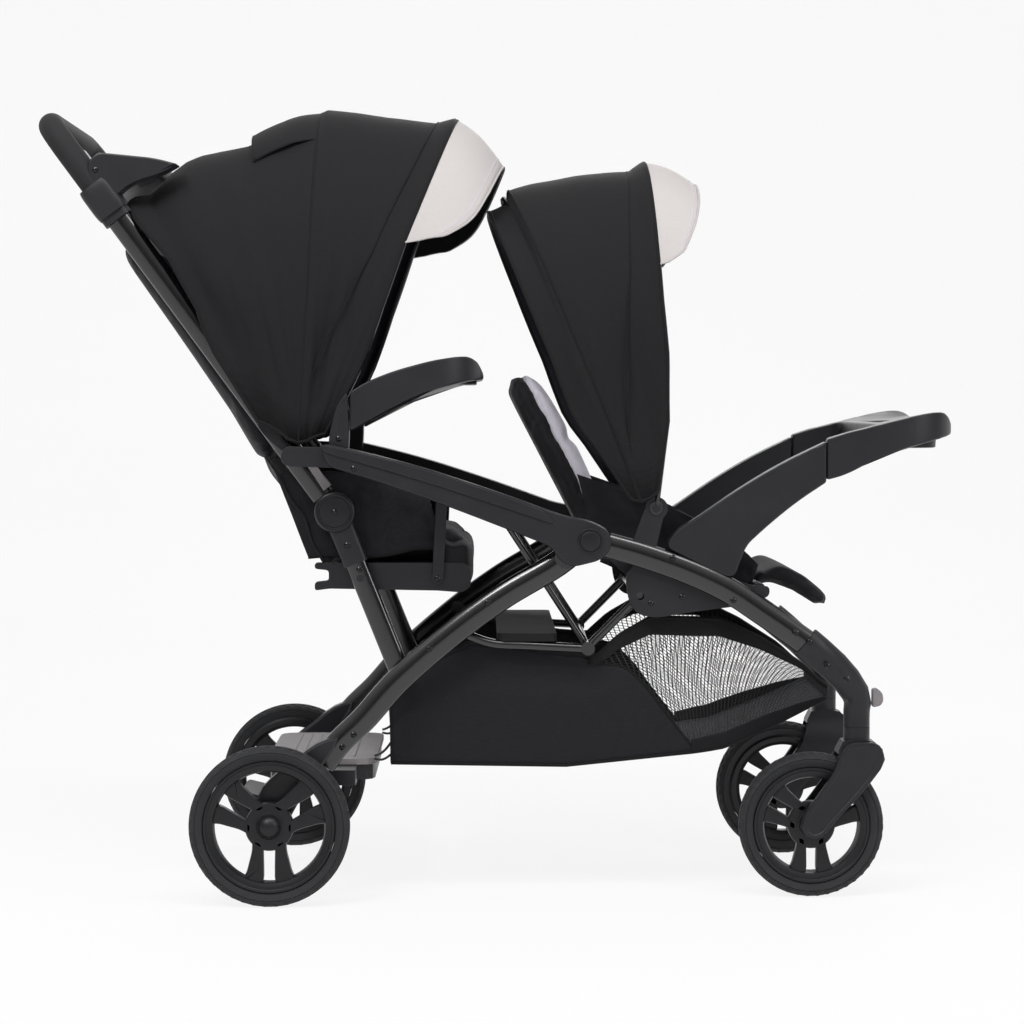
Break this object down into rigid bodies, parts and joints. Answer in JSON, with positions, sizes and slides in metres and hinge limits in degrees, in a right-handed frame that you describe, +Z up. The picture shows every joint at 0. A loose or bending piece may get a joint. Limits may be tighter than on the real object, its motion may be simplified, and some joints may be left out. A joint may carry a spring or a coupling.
{
  "type": "sit and stand double stroller",
  "caption": "Folding in-line stroller with a front seat, a rear seat over a bench, a standing platform, canopies, trays, a basket, swivel front wheels and a foam grip.",
  "frame": {"origin": "centre of the footprint on the floor", "axes": "+X forward in the direction of travel, +Y to the left, +Z up from the floor"},
  "size_m": [1.2012, 0.5574, 1.042],
  "materials": {
    "black_paint": "gloss black coating",
    "black_plastic": "fine matte texture",
    "black_fabric": "plain woven",
    "visor_cream": "plain woven",
    "grey_plastic": "matte",
    "tyre_rubber": "matte foam rubber",
    "grip_foam": "closed-cell foam",
    "plain_steel": "zinc plated"
  },
  "bodies": {
    "rear_frame": {"rear_leg_left": "black_paint", "rear_leg_right": "black_paint", "wheel_bracket_left": "black_plastic", "wheel_bracket_right": "black_plastic", "rear_axle": "plain_steel", "standing_platform": "grey_plastic", "platform_pan": "black_plastic", "basket_bag": "black_fabric", "basket_floor": "black_plastic"},
    "brake": {"brake_pedal": "black_plastic"},
    "rear_wheel_left": {"rear_tyre_left": "tyre_rubber", "rear_rim_left": "black_plastic"},
    "rear_wheel_right": {"rear_tyre_right": "tyre_rubber", "rear_rim_right": "black_plastic"},
    "side_rails": {"side_rail_left": "black_plastic", "side_rail_right": "black_plastic"},
    "rear_tray": {"rear_tray": "black_plastic"},
    "lower_struts": {"lower_strut_left": "black_paint", "lower_strut_right": "black_paint"},
    "handle": {"handle_tube_left": "black_paint", "handle_tube_right": "black_paint", "handle_grip": "grip_foam", "parent_tray": "black_plastic", "rear_seat_back": "black_fabric", "rear_canopy_fabric": "black_fabric"},
    "fold_trigger": {"fold_trigger": "grey_plastic"},
    "rear_middle_bow": {"rear_canopy_middle_bow": "black_paint"},
    "rear_front_bow": {"rear_canopy_front_bow": "black_paint", "rear_canopy_visor": "visor_cream"},
    "rear_seat": {"rear_seat_frame": "black_plastic", "rear_seat_cushion": "black_fabric"},
    "seat_hangers": {"seat_hanger_left": "black_plastic", "seat_hanger_right": "black_plastic"},
    "basket_rear_tubes": {"basket_rear_tube": "black_paint", "bench_seat": "black_plastic"},
    "basket_front_tube": {"basket_front_tube": "black_paint"},
    "stay_rod": {"stay_rod": "black_paint"},
    "front_frame": {"front_leg_left": "black_paint", "front_leg_right": "black_paint", "caster_housing_left": "black_plastic", "caster_housing_right": "black_plastic", "arm_panel_left": "black_plastic", "arm_panel_right": "black_plastic", "front_seat_base": "black_plastic", "front_seat_cushion": "black_fabric", "front_canopy_mount": "black_plastic", "front_canopy_fabric": "black_fabric"},
    "caster_lock_left": {"caster_lock_left": "grey_plastic"},
    "caster_lock_right": {"caster_lock_right": "grey_plastic"},
    "front_tray": {"front_tray": "black_plastic"},
    "footrest": {"footrest": "black_fabric"},
    "front_seat_back": {"front_seat_back": "black_fabric"},
    "front_bow": {"front_canopy_front_bow": "black_paint", "front_canopy_visor": "visor_cream"},
    "caster_left": {"caster_fork_left": "black_plastic"},
    "caster_right": {"caster_fork_right": "black_plastic"},
    "front_wheel_left": {"front_tyre_left": "tyre_rubber", "front_rim_left": "black_plastic"},
    "front_wheel_right": {"front_tyre_right": "tyre_rubber", "front_rim_right": "black_plastic"}
  },
  "joints": [
    {"name": "fold", "type": "hinge", "parent": "lower_struts", "child": "handle", "pos_m": [-0.213, 0, 0.508], "axis": [0, -1, 0], "range_deg": [0, 99.2], "deforming": ["basket_bag", "rear_canopy_fabric", "front_canopy_fabric"]},
    {"name": "rails_turn", "type": "hinge", "parent": "rear_frame", "child": "side_rails", "pos_m": [0.118, 0, 0.472], "axis": [0, -1, 0], "range_deg": [0, 21.1]},
    {"name": "front_frame_turn", "type": "hinge", "parent": "rear_frame", "child": "front_frame", "pos_m": [0.118, 0, 0.472], "axis": [0, -1, 0], "range_deg": [-36, 0]},
    {"name": "struts_turn", "type": "hinge", "parent": "rear_frame", "child": "lower_struts", "pos_m": [-0.127, 0, 0.294], "axis": [0, -1, 0], "range_deg": [0, 2.7]},
    {"name": "basket_rear_turn", "type": "hinge", "parent": "rear_frame", "child": "basket_rear_tubes", "pos_m": [-0.057, 0, 0.354], "axis": [0, -1, 0], "range_deg": [-17, 0]},
    {"name": "stay_turn", "type": "hinge", "parent": "side_rails", "child": "stay_rod", "pos_m": [0.006, 0, 0.5], "axis": [0, -1, 0], "range_deg": [-25.1, 0]},
    {"name": "basket_front_turn", "type": "hinge", "parent": "front_frame", "child": "basket_front_tube", "pos_m": [0.185, 0, 0.398], "axis": [0, -1, 0], "range_deg": [0, 64.2]},
    {"name": "rear_seat_turn", "type": "hinge", "parent": "lower_struts", "child": "rear_seat", "pos_m": [-0.18, 0, 0.4215], "axis": [0, -1, 0], "range_deg": [-44, 0]},
    {"name": "hangers_turn", "type": "hinge", "parent": "side_rails", "child": "seat_hangers", "pos_m": [-0.074, 0, 0.527], "axis": [0, -1, 0], "range_deg": [-34.5, 0]},
    {"name": "trigger_pull", "type": "slide", "parent": "handle", "child": "fold_trigger", "axis": [-0.5931, 0, 0.8051], "range_m": [0, 0.004], "stiffness_N_per_m": 300, "springref_m": -0.002},
    {"name": "rear_tray_pull", "type": "slide", "parent": "side_rails", "child": "rear_tray", "axis": [1, 0, 0], "range_m": [0, 0.028]},
    {"name": "front_tray_pull", "type": "slide", "parent": "front_frame", "child": "front_tray", "axis": [1, 0, 0], "range_m": [0, 0.06]},
    {"name": "rear_canopy_fold", "type": "hinge", "parent": "handle", "child": "rear_middle_bow", "pos_m": [-0.258, 0, 0.606], "axis": [0, -1, 0], "range_deg": [0, 20], "deforming": ["rear_canopy_visor"]},
    {"name": "rear_front_bow_turn", "type": "hinge", "parent": "rear_middle_bow", "child": "rear_front_bow", "pos_m": [-0.258, 0, 0.606], "axis": [0, -1, 0], "range_deg": [0, 10.1]},
    {"name": "front_canopy_fold", "type": "hinge", "parent": "front_frame", "child": "front_bow", "pos_m": [0.205, 0, 0.513], "axis": [0, -1, 0], "range_deg": [0, 20], "deforming": ["front_canopy_visor"]},
    {"name": "front_back_recline", "type": "hinge", "parent": "front_frame", "child": "front_seat_back", "pos_m": [0.15, 0, 0.448], "axis": [0, -1, 0], "range_deg": [0, 22]},
    {"name": "footrest_turn", "type": "hinge", "parent": "front_frame", "child": "footrest", "pos_m": [0.341, 0, 0.406], "axis": [0, -1, 0], "range_deg": [-20, 25]},
    {"name": "brake_press", "type": "hinge", "parent": "rear_frame", "child": "brake", "pos_m": [-0.296, 0, 0.104], "axis": [0, -1, 0], "range_deg": [0, 18]},
    {"name": "rear_wheel_left_spin", "type": "hinge", "parent": "rear_frame", "child": "rear_wheel_left", "pos_m": [-0.296, 0.254, 0.104], "axis": [0, -1, 0], "continuous": true},
    {"name": "rear_wheel_right_spin", "type": "hinge", "parent": "rear_frame", "child": "rear_wheel_right", "pos_m": [-0.296, -0.254, 0.104], "axis": [0, -1, 0], "continuous": true},
    {"name": "caster_left_swivel", "type": "hinge", "parent": "front_frame", "child": "caster_left", "pos_m": [0.472, 0.18, 0.224], "axis": [0, 0, 1], "continuous": true},
    {"name": "front_wheel_left_spin", "type": "hinge", "parent": "caster_left", "child": "front_wheel_left", "pos_m": [0.412, 0.18, 0.095], "axis": [0, -1, 0], "continuous": true},
    {"name": "caster_lock_left_slide", "type": "slide", "parent": "front_frame", "child": "caster_lock_left", "axis": [0, 0, 1], "range_m": [-0.004, 0]},
    {"name": "caster_right_swivel", "type": "hinge", "parent": "front_frame", "child": "caster_right", "pos_m": [0.472, -0.18, 0.224], "axis": [0, 0, 1], "continuous": true},
    {"name": "front_wheel_right_spin", "type": "hinge", "parent": "caster_right", "child": "front_wheel_right", "pos_m": [0.412, -0.18, 0.095], "axis": [0, -1, 0], "continuous": true},
    {"name": "caster_lock_right_slide", "type": "slide", "parent": "front_frame", "child": "caster_lock_right", "axis": [0, 0, 1], "range_m": [-0.004, 0]}
  ],
  "couplings": [
    {"joint": "rails_turn", "follows": "fold", "ratio": 0.2117},
    {"joint": "front_frame_turn", "follows": "fold", "ratio": -0.3619},
    {"joint": "struts_turn", "follows": "fold", "ratio": 0.0262},
    {"joint": "basket_rear_turn", "follows": "fold", "ratio": -0.1704},
    {"joint": "stay_turn", "follows": "fold", "ratio": -0.2517},
    {"joint": "basket_front_turn", "follows": "fold", "ratio": 0.6459},
    {"joint": "rear_seat_turn", "follows": "fold", "ratio": -0.4418},
    {"joint": "hangers_turn", "follows": "fold", "ratio": -0.3454},
    {"joint": "rear_front_bow_turn", "follows": "rear_canopy_fold", "ratio": 0.5}
  ]
}
